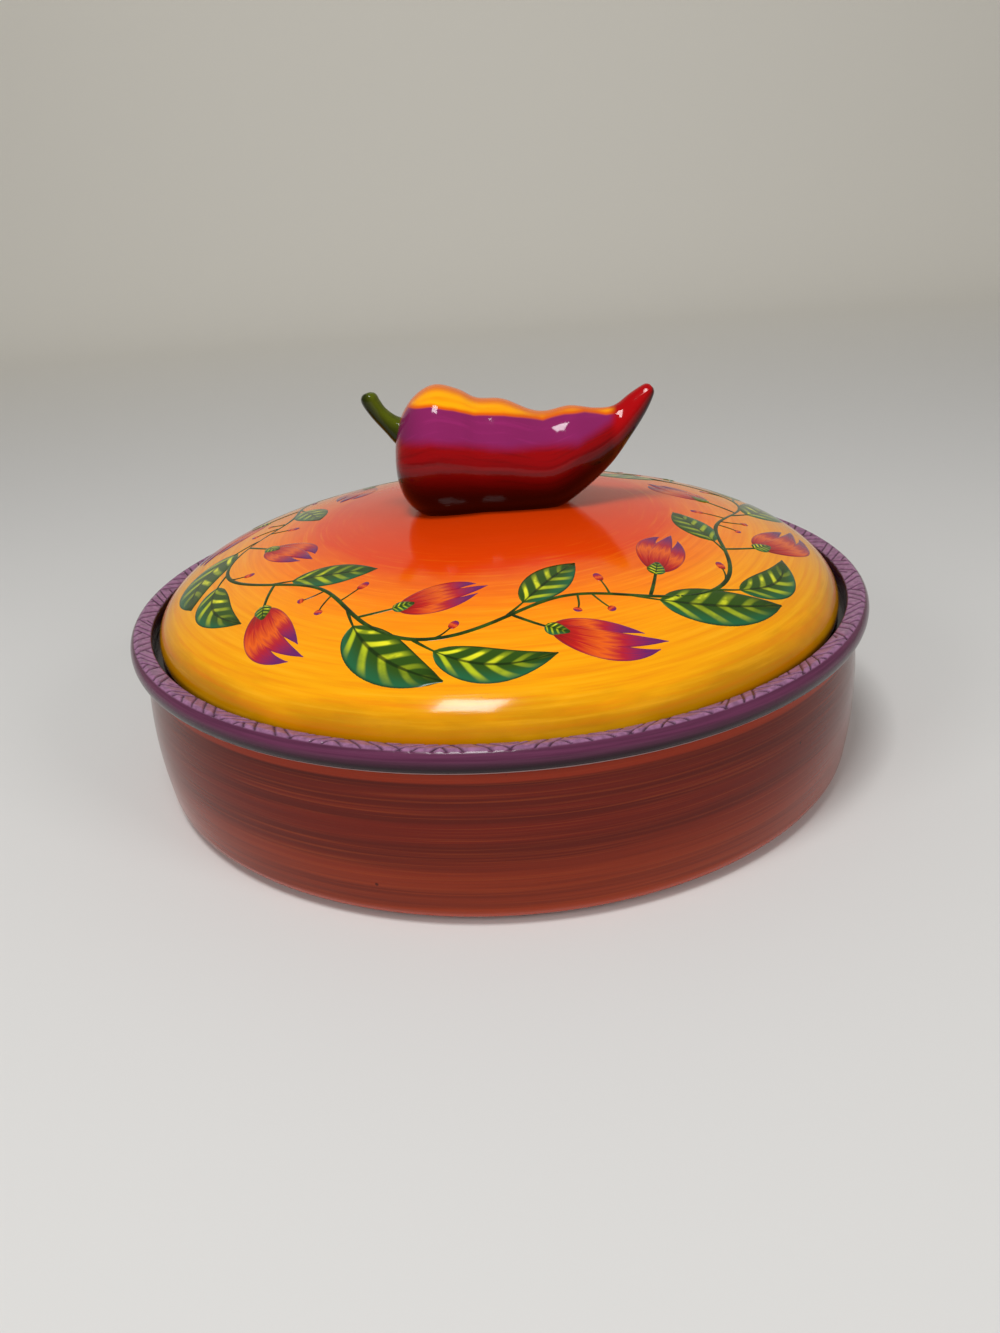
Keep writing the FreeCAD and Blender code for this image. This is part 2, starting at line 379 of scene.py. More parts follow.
def collar_glaze():
    g = Glaze("collar_glaze", roughness=0.2, coat_roughness=0.05)
    x, y, z = g.place()
    r = g.radius(x, y)
    strokes = ring_strokes(g, x, y, z, 900.0, 3.0)
    mottle = g.noise(g.join(x, y, z), 420.0, 4.0, 0.6)
    tone = g.mix(g.fade(mottle, 0.3, 0.7), shade("collar", 0.72), shade("collar", 1.2))
    nose = g.mix(g.fade(strokes, 0.3, 0.7), shade("collar_nose", 0.8), shade("collar_nose", 1.25))
    # Painted shade: the nose darkens to plum black towards its underside
    low = g.fade(z, COLLAR_TOP_Z - 6.0 * MM, COLLAR_TOP_Z - 2.2 * MM, 1.0, 0.0)
    nose = g.mix(low, nose, colour("collar_painted_shade"))
    tone = g.mix(g.fade(r, BAND_OUT_R - 0.3 * MM, BAND_OUT_R + 0.3 * MM), tone, nose)
    tone = g.mix(g.times(g.attribute("groove"), 0.92), tone, shade("collar_nose", 0.35))
    # Painted shade: the collar's inner face, in the gap round the lid, darkened
    inner = g.fade(r, COLLAR_IN_R + 0.1 * MM, COLLAR_IN_R + 0.6 * MM, 1.0, 0.0)
    tone = g.mix(inner, tone, shade("collar_nose", 0.45))
    lip = g.fade(z, COLLAR_LOW_Z + 1.0 * MM, COLLAR_LOW_Z + 1.4 * MM, 1.0, 0.0)
    tone = g.mix(g.times(lip, 0.8), tone, paint(190, 170, 168))
    g.bump(g.math("ADD", mottle, g.times(strokes, 0.5)), 0.05 * MM)
    return g.finish(tone)


def dome_glaze():
    g = Glaze("sunset_dome_glaze", roughness=0.12)
    x, y, _ = g.place()
    r = g.radius(x, y)
    broad = ring_strokes(g, x, y, r, 95.0, 2.2)
    fine = ring_strokes(g, x, y, r, 640.0, 2.2)
    clear = g.fade(r, 38.0 * MM, 85.0 * MM)
    drift = g.times(g.math("SUBTRACT", broad, 0.5), 0.16)
    reach = g.math("ADD", g.math("DIVIDE", r, DOME_R), drift)
    tone = g.ramp(reach, (
        (0.28, colour("lid_crown")),
        (0.49, shade("lid_crown", 1.12)),
        (0.65, colour("lid_middle")),
        (0.77, paint(250, 154, 3)),
        (0.94, colour("lid_edge")),
        # painted shade at the very edge, where the lid turns down beside the gap
        (1.0, shade("lid_edge", 0.62)),
    ))
    dark_marks = g.times(g.fade(fine, 0.42, 0.75, 0.0, 0.4), clear)
    tone = g.mix(dark_marks, tone, paint(222, 96, 10))
    light_marks = g.times(g.fade(fine, 0.5, 0.25, 0.0, 0.3), clear)
    tone = g.mix(light_marks, tone, paint(255, 186, 40))
    g.bump(g.math("ADD", fine, broad), 0.05 * MM)
    return g.finish(tone)


def leaf_glaze():
    g = Glaze("leaf_stroke", roughness=0.12)
    x, y, z = g.place()
    along, across = g.attribute("along"), g.attribute("across")
    reach = g.math("ABSOLUTE", across)
    cloud = g.noise(g.join(x, y, z), 130.0, 3.0)
    skew = g.math("SUBTRACT", along, g.times(reach, 0.22))
    lobe = g.math("SINE", g.times(skew, 31.0))
    lit = g.times(g.fade(lobe, -0.1, 0.95), g.fade(reach, 0.95, 0.45))
    lit = g.times(lit, g.fade(along, 0.96, 0.35, 0.1, 1.0))
    lit = g.times(lit, g.fade(cloud, 0.3, 0.6, 0.45, 1.0))
    base = g.mix(g.fade(across, 0.1, 0.9), shade("leaf", 1.2), paint(34, 96, 60))
    tone = g.mix(lit, base, colour("leaf_light"))
    glint = g.times(g.fade(lit, 0.55, 0.95), g.fade(across, 0.2, -0.5))
    tone = g.mix(glint, tone, paint(232, 226, 40))
    rib = g.fade(reach, 0.03, 0.10, 1.0, 0.0)
    tone = g.mix(g.times(rib, 0.8), tone, shade("leaf", 0.3))
    rim = g.fade(reach, 0.80, 0.97)
    tone = g.mix(g.times(rim, 0.9), tone, shade("leaf", 0.22))
    tip = g.fade(along, 0.72, 1.0)
    tone = g.mix(g.times(tip, 0.75), tone, shade("leaf", 0.3))
    return g.finish(tone)


def vine_glaze():
    g = Glaze("vine_stroke", roughness=0.12)
    x, y, z = g.place()
    wet = g.noise(g.join(x, y, z), 160.0, 2.0)
    return g.finish(g.mix(g.fade(wet, 0.35, 0.65), shade("leaf", 0.45), shade("leaf", 1.25)))


def blossom_glaze():
    g = Glaze("bud_stroke", roughness=0.12)
    x, y, z = g.place()
    along, across = g.attribute("along"), g.attribute("across")
    own = g.noise(g.join(x, y, z), 20.0)
    strokes = g.noise(g.join(g.times(along, 2.0), g.times(across, 5.0), own), 1.6, 4.0)
    ragged = g.times(g.math("SUBTRACT", strokes, 0.5), 0.4)
    body = g.ramp(g.math("ADD", along, ragged), (
        (0.05, shade("blossom", 0.45)),
        (0.25, colour("blossom")),
        (0.44, paint(228, 96, 22)),
        (0.60, paint(178, 30, 44)),
        (0.86, colour("blossom_tip")),
    ))
    edge = g.fade(g.math("ABSOLUTE", across), 0.72, 1.0)
    tone = g.mix(g.times(edge, 0.7), body, shade("blossom_tip", 0.5))
    return g.finish(tone)


def pepper_glaze():
    g = Glaze("pepper_glaze", roughness=0.07, coat_roughness=0.02)
    x, y, z = g.place()
    spot = g.join(x, y, z)
    drift = g.times(g.math("SUBTRACT", g.noise(spot, 60.0, 2.0), 0.5), 2.4)
    over_yellow = g.math("ADD", g.attribute("over_yellow"), g.times(drift, 0.35))
    over_red = g.math("ADD", g.attribute("over_red"), drift)
    level = g.attribute("height")
    streak = g.noise(g.join(g.times(x, 26.0), g.times(level, 7.0), 0.0), 1.5, 4.0)
    # Painted shade: the red darkens to maroon towards the pepper's underside
    red = g.mix(g.fade(level, -0.55, 0.30), colour("pepper_shade_and_streaks"), colour("pepper_red"))
    red = g.mix(g.times(g.fade(streak, 0.42, 0.7), 0.35), red, shade("pepper_shade_and_streaks", 1.5))
    purple = g.mix(g.fade(x, -34.0 * MM, -20.0 * MM), shade("pepper_band", 0.72), colour("pepper_band"))
    purple = g.mix(g.times(g.fade(streak, 0.5, 0.72), 0.4), purple, shade("pepper_band", 1.5))
    tone = g.mix(g.fade(over_red, -2.2, 2.4), red, purple)
    orange = paint(214, 88, 6)
    tone = g.mix(g.fade(over_yellow, -0.5, 0.2), tone, orange)
    yellow = g.mix(g.fade(streak, 0.45, 0.75, 0.0, 0.7), colour("pepper_top"), paint(240, 132, 0))
    tone = g.mix(g.fade(over_yellow, 0.1, 1.5), tone, yellow)
    tone = g.mix(g.times(g.fade(level, 0.93, 0.995), 0.8), tone, orange)
    horn = g.fade(x, 44.5 * MM, 48.5 * MM)
    # The horn's red darkens the same way towards its underside: painted shade
    horn_red = g.mix(g.fade(level, -0.8, 0.3), shade("pepper_shade_and_streaks", 1.5), shade("pepper_red", 1.35))
    tone = g.mix(horn, tone, horn_red)
    g.bump(g.noise(spot, 140.0, 2.0), 0.12 * MM)
    return g.finish(tone)


def stem_glaze():
    g = Glaze("stem_glaze", roughness=0.1, coat_roughness=0.03)
    x, y, z = g.place()
    mottle = g.noise(g.join(x, y, z), 210.0, 3.0)
    # Painted shade: the stem darkens to near black towards its underside
    lit = g.attribute("height")
    tone = g.mix(g.fade(lit, -0.5, 0.7), shade("stem", 0.18), colour("stem"))
    tone = g.mix(g.times(g.fade(mottle, 0.45, 0.7), 0.4), tone, shade("stem", 0.35))
    g.bump(mottle, 0.15 * MM)
    return g.finish(tone)


def arc(centre, radii, start, end, steps):
    """Points along an oval's arc, between two angles in degrees."""
    points = []
    for i in range(steps + 1):
        a = math.radians(start + (end - start) * i / steps)
        points.append((centre[0] + radii[0] * math.cos(a), centre[1] + radii[1] * math.sin(a)))
    return points


def bow(low, high, out, steps):
    """Points from low to high that swell outwards by a set amount halfway."""
    points = []
    for i in range(steps + 1):
        t = i / steps
        swell = out * 4 * t * (1 - t)
        points.append((low[0] + (high[0] - low[0]) * t + swell, low[1] + (high[1] - low[1]) * t))
    return points


def held(points, closed=False, near=0.3 * MM, least=1.6 * MM):
    """The same profile, with a point close to both ends of each long straight, to hold its edge."""
    ends = points[1:] + points[:1] if closed else points[1:]
    out = []
    for p, q in zip(points, ends):
        out.append(p)
        length = math.dist(p, q)
        if length > least:
            for t in (near / length, 1 - near / length):
                out.append((p[0] + (q[0] - p[0]) * t, p[1] + (q[1] - p[1]) * t))
    return out if closed else out + [points[-1]]


def grid_mesh(name, rows, wrap_rows=False, wrap_columns=True):
    """A mesh of quads between rows of points; a row of one point is a pole."""
    points, starts = [], []
    for row in rows:
        starts.append(len(points))
        points.extend(row)
    faces = []
    pairs = list(zip(range(len(rows)), range(1, len(rows))))
    if wrap_rows:
        pairs.append((len(rows) - 1, 0))
    for a, b in pairs:
        count = max(len(rows[a]), len(rows[b]))
        for i in range(count if wrap_columns else count - 1):
            j = (i + 1) % count
            ring = []
            for k, n in ((a, i), (a, j), (b, j), (b, i)):
                index = starts[k] + (n if len(rows[k]) > 1 else 0)
                if index not in ring:
                    ring.append(index)
            faces.append(ring)
    mesh = bpy.data.meshes.new(name)
    mesh.from_pydata(points, [], faces)
    mesh.polygons.foreach_set("use_smooth", [True] * len(faces))
    mesh.update()
    return mesh


def note(mesh, name, values):
    """Keeps one number at each point, for a material to read."""
    mesh.attributes.new(name, "FLOAT", "POINT").data.foreach_set("value", values)


def outwards(mesh):
    """Turns a closed mesh's faces to point out of it."""
    middle = sum((v.co for v in mesh.vertices), Vector()) / len(mesh.vertices)
    volume = sum((face.center - middle).dot(face.normal) * face.area for face in mesh.polygons)
    if volume < 0:
        mesh.flip_normals()


def place_object(name, mesh, material):
    made = bpy.data.objects.new(name, mesh)
    bpy.context.scene.collection.objects.link(made)
    mesh.materials.clear()
    mesh.materials.append(material)
    return made


def turned(name, profile, closed, segments, material):
    """A turned piece. The profile runs with the solid on its left, seen with +Z up."""
    rows = []
    for r, z in held(profile, closed):
        if r < 1e-6:
            rows.append([(0.0, 0.0, z)])
            continue
        turns = (2 * math.pi * i / segments for i in range(segments))
        rows.append([(r * math.cos(a), r * math.sin(a), z) for a in turns])
    return place_object(name, grid_mesh(name, rows, wrap_rows=closed), material)


def seat(piece, body, slot, *nodes):
    """Every finished piece rides a body, and stands for the nodes whose place it takes."""
    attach(piece, body)
    if nodes:
        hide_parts(*nodes)


def repeat_round(piece, name, count, material):
    """Geometry nodes that set a piece round the axis a number of times, as one plain mesh."""
    tree = bpy.data.node_groups.new(name + "_round", "GeometryNodeTree")
    tree.interface.new_socket("Geometry", in_out="INPUT", socket_type="NodeSocketGeometry")
    repeats = tree.interface.new_socket("Repeats", in_out="INPUT", socket_type="NodeSocketInt")
    finish = tree.interface.new_socket("Finish", in_out="INPUT", socket_type="NodeSocketMaterial")
    tree.interface.new_socket("Geometry", in_out="OUTPUT", socket_type="NodeSocketGeometry")

    def node(kind, **settings):
        made = tree.nodes.new(kind)
        for key, value in settings.items():
            setattr(made, key, value)
        return made

    given, out = node("NodeGroupInput"), node("NodeGroupOutput")
    points, index = node("GeometryNodePoints"), node("GeometryNodeInputIndex")
    step = node("ShaderNodeMath", operation="DIVIDE")
    turn = node("ShaderNodeMath", operation="MULTIPLY")
    euler, place = node("ShaderNodeCombineXYZ"), node("GeometryNodeInstanceOnPoints")
    real, weld = node("GeometryNodeRealizeInstances"), node("GeometryNodeMergeByDistance")
    smooth, paint_on = node("GeometryNodeSetShadeSmooth"), node("GeometryNodeSetMaterial")
    step.inputs[0].default_value = 2 * math.pi
    weld.inputs["Distance"].default_value = 0.01 * MM
    for a, b in (
        (given.outputs["Repeats"], points.inputs["Count"]),
        (given.outputs["Repeats"], step.inputs[1]),
        (index.outputs[0], turn.inputs[0]),
        (step.outputs[0], turn.inputs[1]),
        (turn.outputs[0], euler.inputs[2]),
        (points.outputs[0], place.inputs["Points"]),
        (given.outputs["Geometry"], place.inputs["Instance"]),
        (euler.outputs[0], place.inputs["Rotation"]),
        (place.outputs[0], real.inputs[0]),
        (real.outputs[0], weld.inputs["Geometry"]),
        (weld.outputs[0], smooth.inputs["Geometry"]),
        (smooth.outputs[0], paint_on.inputs["Geometry"]),
        (given.outputs["Finish"], paint_on.inputs["Material"]),
        (paint_on.outputs[0], out.inputs[0]),
    ):
        tree.links.new(a, b)
    modifier = piece.modifiers.new("round", "NODES")
    modifier.node_group = tree
    modifier[repeats.identifier] = count
    modifier[finish.identifier] = material
    graph = bpy.context.evaluated_depsgraph_get()
    mesh = bpy.data.meshes.new_from_object(piece.evaluated_get(graph))
    mesh.name = name
    bpy.data.objects.remove(piece)
    return place_object(name, mesh, material)


def dome_z(r):
    """Height of the lid's outside at a radius."""
    return DOME_BASE_Z + DOME_H * math.sqrt(max(0.0, 1 - (r / DOME_R) ** 2))


def on_dome(r, turn, lift):
    """A point on the dome, lifted square to it."""
    height = dome_z(r) - DOME_BASE_Z
    normal = Vector((r / DOME_R ** 2, 0, height / DOME_H ** 2)).normalized()
    spot = Vector((r, 0, dome_z(r))) + normal * lift
    return Matrix.Rotation(turn, 3, "Z") @ spot


def stroke(line, width, lift, steps=28, sides=10):
    """One brush stroke on the dome: points, faces and where each point lies in the stroke.

    line(t) gives a radius and a turn, and width(t) the half width, as t runs from 0 to 1.
    """
    points, along, across, faces = [], [], [], []
    for i in range(steps + 1):
        t = i / steps
        r, turn = line(t)
        before, after = line(max(0.0, t - 0.01)), line(min(1.0, t + 0.01))
        run = ((after[1] - before[1]) * r, after[0] - before[0])
        length = math.hypot(*run) or 1.0
        side = (-run[1] / length, run[0] / length)
        half = width(t)
        for j in range(sides + 1):
            s = 2 * j / sides - 1
            here = r + side[1] * s * half
            there = turn + side[0] * s * half / r
            rise = lift * (min(1.0, 12 * t, 12 * (1 - t)) - 1.5 * s ** 8)
            points.append(on_dome(here, there, rise))
            along.append(t)
            across.append(s)
    for i in range(steps):
        for j in range(sides):
            a = i * (sides + 1) + j
            faces.append((a, a + sides + 1, a + sides + 2, a + 1))
    return points, faces, along, across


def strokes_mesh(name, strokes):
    """Several strokes as one mesh."""
    points, faces, along, across = [], [], [], []
    for spots, cells, far, out in strokes:
        shift = len(points)
        points.extend(spots)
        faces.extend(tuple(k + shift for k in cell) for cell in cells)
        along.extend(far)
        across.extend(out)
    mesh = bpy.data.meshes.new(name)
    mesh.from_pydata(points, [], faces)
    up = Vector((0, 0, 1))
    if sum(face.normal.dot(up) for face in mesh.polygons) < 0:
        mesh.flip_normals()
    note(mesh, "along", along)
    note(mesh, "across", across)
    return mesh


def loft_rows(sections, around, along_steps, shape):
    """Rows of points through cross-sections, with a smooth curve between them."""
    rows, heights = [], []
    last = len(sections) - 1
    for i in range(along_steps + 1):
        t = last * i / along_steps
        section = spline(sections, t)
        row = []
        for j in range(around):
            a = 2 * math.pi * j / around
            row.append(shape(section, a))
            heights.append(math.sin(a))
        rows.append(row)
    return rows, heights


def capped(rows):
    """The same rows with a point at the middle of each end, to close it."""
    start, end = (tuple(sum((Vector(p) for p in row), Vector()) / len(row)) for row in (rows[0], rows[-1]))
    return [[start]] + rows + [[end]]


def spline(rows, t):
    """A row of numbers between rows, on a curve that passes through each."""
    last = len(rows) - 1
    k = min(int(t), last - 1)
    f = t - k
    a, b, c, d = (rows[min(max(n, 0), last)] for n in (k - 1, k, k + 1, k + 2))
    out = []
    for p, q, r, s in zip(a, b, c, d):
        out.append(0.5 * (2 * q + (r - p) * f + (2 * p - 5 * q + 4 * r - s) * f ** 2
                          + (3 * q - p - 3 * r + s) * f ** 3))
    return out


def height_on(border, x):
    """The height of a painted line at x, straight between its points."""
    for (x0, z0), (x1, z1) in zip(border, border[1:]):
        if x < x1:
            return z0 + (z1 - z0) * (x - x0) / (x1 - x0)
    return border[-1][1]


def furrowed(angle):
    """How far out the pepper's skin stands at an angle, drawn in along its furrows."""
    degrees = math.degrees(angle) % 360
    pull = sum(math.exp(-((degrees - a) / FURROW_WIDTH) ** 2) for a in FURROW_ANGLES)
    return 1.0 - FURROW_DEPTH * pull


class WARMER_OT_bowl(bpy.types.Operator):
    """Turn the dish: foot ring, floor, swelling wall and the ledge for the lid"""

    bl_idname = "warmer.bowl"
    bl_label = "Dish"

    def execute(self, context):
        swell = BELLY_R - (WALL_TOP_R + WALL_FOOT_R) / 2
        wall_low = BASE_LIFT + CORNER_R
        inner_r = WALL_TOP_R - WALL_T
        inner_low = FLOOR_Z + INNER_CORNER_R
        neck_top = LEDGE_Z - NECK_H
        neck_low = neck_top - NECK_SLOPE * (inner_r - LEDGE_IN_R)
        outside = [(FOOT_OUT_R + EDGE, BASE_LIFT)]
        outside += arc((WALL_FOOT_R - CORNER_R, wall_low), (CORNER_R, CORNER_R), -90, 0, 10)
        outside += bow(outside.pop(), (WALL_TOP_R, LEDGE_Z), swell, 24)
        inside = [(WALL_TOP_R, LEDGE_Z)]
        inside += arc((LEDGE_IN_R + EDGE, LEDGE_Z - EDGE), (EDGE, EDGE), 90, 180, 5)
        inside.append((LEDGE_IN_R, neck_top))
        inside.append((inner_r, neck_low))
        inside += arc((inner_r - INNER_CORNER_R, inner_low), (INNER_CORNER_R, INNER_CORNER_R), 0, -90, 12)
        inside.append((0.0, FLOOR_Z))
        foot = [(0.0, FOOT_RECESS), (FOOT_IN_R - EDGE, FOOT_RECESS), (FOOT_IN_R, 0.0),
                (FOOT_OUT_R, 0.0), (FOOT_OUT_R + EDGE, BASE_LIFT)]
        profile = foot + outside[1:] + inside[1:]
        piece = turned("dish_body", profile, False, SEGMENTS, wall_glaze())
        piece.data.materials.append(inside_glaze())
        piece.data.materials.append(bare_clay())
        for face in piece.data.polygons:
            r = math.hypot(face.center[0], face.center[1])
            if face.center[2] < BASE_LIFT * 0.9 and r > FOOT_IN_R - 2 * EDGE:
                face.material_index = 2
            elif face.center[2] < LEDGE_Z - 0.6 * MM and self.faces_in(face, r):
                face.material_index = 1
        seat(piece, "dish", "dish_glaze", "dish_bowl")
        return {"FINISHED"}

    @staticmethod
    def faces_in(face, r):
        """Whether a face belongs to the inside: the floor, or a wall that looks at the axis."""
        if r < WALL_TOP_R - 2 * MM and face.center[2] > FLOOR_Z - 0.1 * MM:
            return True
        looks_in = face.normal[0] * face.center[0] + face.normal[1] * face.center[1] < -1e-5
        return looks_in and face.center[2] > FLOOR_Z


class WARMER_OT_collar(bpy.types.Operator):
    """Make the relief collar: a few hatched cells of its band, set round the dish"""

    bl_idname = "warmer.collar"
    bl_label = "Relief collar"

    VARIED = 2
    COLUMNS = 80
    GROOVE = 0.5 * MM
    LEAN = 6.5 / 33
    # Where each line of a cell starts, and how far over the band it runs: out and in are 1 and 0
    RISING = ((0.0, 0.0, 1.0), (0.165, 0.0, 1.0), (0.335, 0.0, 1.0), (0.84, 0.55, 1.0))
    FALLING = ((0.53, 0.0, 1.0), (0.70, 0.0, 1.0), (0.865, 0.0, 1.0), (0.36, 0.0, 0.42))

    def cut_lines(self):
        """The varied cells' lines: where each starts, its lean, and the part of the band it crosses."""
        drawn = random.Random(5)
        lines = []
        for cell in range(self.VARIED):
            for way, kind in ((1, self.RISING), (-1, self.FALLING)):
                for start, low, high in kind:
                    lean = self.LEAN * drawn.uniform(0.75, 1.3)
                    place = cell + start + drawn.uniform(-0.035, 0.035)
                    lines.append((place if way > 0 else place + lean, way * lean, low, high))
        return lines

    def groove(self, lines, turn, across, cell):
        """How deep in an incised line a point is: turn counts the cells, across is 0 to 1 outwards."""
        band = BAND_OUT_R - COLLAR_IN_R
        square = band / math.hypot(band, self.LEAN * cell)
        half = self.VARIED / 2
        deep = 0.0
        for start, lean, low, high in lines:
            away = (turn - start - lean * across + half) % self.VARIED - half
            if low <= across <= high:
                deep = max(deep, 1 - abs(away) * cell * square / self.GROOVE)
        return min(1.0, 1.5 * deep)

    def execute(self, context):
        repeats, depth = sizes().relief_cells // self.VARIED, sizes().relief_depth
        nose_r = RIM_R - COLLAR_NOSE
        mid_z = COLLAR_TOP_Z - COLLAR_HALF_H
        inner_z = COLLAR_TOP_Z - COLLAR_SLOPE
        under = [(COLLAR_IN_R, LEDGE_Z + CLEAR), (WALL_TOP_R, LEDGE_Z + CLEAR),
                 (WALL_TOP_R + 0.1 * MM, COLLAR_LOW_Z)]
        nose = arc((nose_r, mid_z), (COLLAR_NOSE, mid_z - COLLAR_LOW_Z), -90, 0, 6)
        nose += arc((nose_r, mid_z), (COLLAR_NOSE, COLLAR_HALF_H), 0, 90, 12)[1:]
        inner_edge = (COLLAR_IN_R + EDGE, inner_z)
        rows = 13
        band = []
        for i in range(1, rows):
            t = i / rows
            band.append((nose_r + (inner_edge[0] - nose_r) * t, COLLAR_TOP_Z - (COLLAR_TOP_Z - inner_z) * t))
        inner = arc((COLLAR_IN_R + EDGE, inner_z - EDGE), (EDGE, EDGE), 90, 180, 3)
        profile = under + nose + band + inner + [(COLLAR_IN_R, LEDGE_Z + 0.4 * MM)]
        lines = self.cut_lines()
        sector = 2 * math.pi / repeats / self.VARIED
        mesh_rows, grooves = [], []
        for r, z in profile:
            on_band = z > inner_z - 0.2 * MM and COLLAR_IN_R + 0.4 * MM < r < BAND_OUT_R
            across = (r - COLLAR_IN_R) / (BAND_OUT_R - COLLAR_IN_R)
            row = []
            for i in range(self.COLUMNS * self.VARIED + 1):
                turn = i / self.COLUMNS
                deep = self.groove(lines, turn, across, sector * r) if on_band else 0.0
                a = sector * turn
                row.append((r * math.cos(a), r * math.sin(a), z - depth * deep))
                grooves.append(deep)
            mesh_rows.append(row)
        mesh = grid_mesh("relief_cell", mesh_rows, wrap_rows=True, wrap_columns=False)
        note(mesh, "groove", grooves)
        material = collar_glaze()
        cell = place_object("relief_cell", mesh, material)
        piece = repeat_round(cell, "relief_collar", repeats, material)
        seat(piece, "dish", "collar_glaze", "rim_collar")
        return {"FINISHED"}


class WARMER_OT_lid(bpy.types.Operator):
    """Turn the lid's dome and the ring that keeps it central"""

    bl_idname = "warmer.lid"
    bl_label = "Lid"

    def execute(self, context):
        inner_r = DOME_R - LID_T
        edge = [(inner_r, SEAT_Z)]
        edge += arc((DOME_R - LID_ROUND, SEAT_Z + LID_ROUND), (LID_ROUND, LID_ROUND), -90, 0, 6)
        outside = arc((0.0, DOME_BASE_Z), (DOME_R, DOME_H), 0, 90, 96)
        inside = arc((0.0, DOME_BASE_Z), (inner_r, DOME_H - LID_T), 90, 0, 60)
        outside[-1] = (0.0, outside[-1][1])
        inside[0] = (0.0, inside[0][1])
        piece = turned("lid_shell", inside + edge + outside, False, SEGMENTS, dome_glaze())
        piece.data.materials.append(inside_glaze())
        for face in piece.data.polygons:
            looks_in = face.normal.dot(Vector((face.center[0], face.center[1], 50 * MM))) < 0
            if looks_in or face.center[2] < SEAT_Z + 0.1 * MM:
                face.material_index = 1
        seat(piece, "lid", "lid_glaze", "lid_dome")

        out_r = inner_r - CLEAR
        in_r = out_r - LOCATOR_T
        c = 1.5 * MM
        ring = arc((in_r + c, LOCATOR_LOW_Z + c), (c, c), 180, 270, 6)
        ring += arc((out_r - c, LOCATOR_LOW_Z + c), (c, c), 270, 360, 6)
        ring += [(out_r, DOME_BASE_Z), (out_r - 1.0 * MM, LOCATOR_TOP_Z - 4.6 * MM)]
        ring += arc((in_r + c, LOCATOR_TOP_Z - 3.4 * MM - c), (c, c), 90, 180, 5)
        piece = turned("locating_ring", ring, True, SEGMENTS * 3 // 4, inside_glaze())
        seat(piece, "lid", "ring_glaze", "lid_locating_ring")
        return {"FINISHED"}


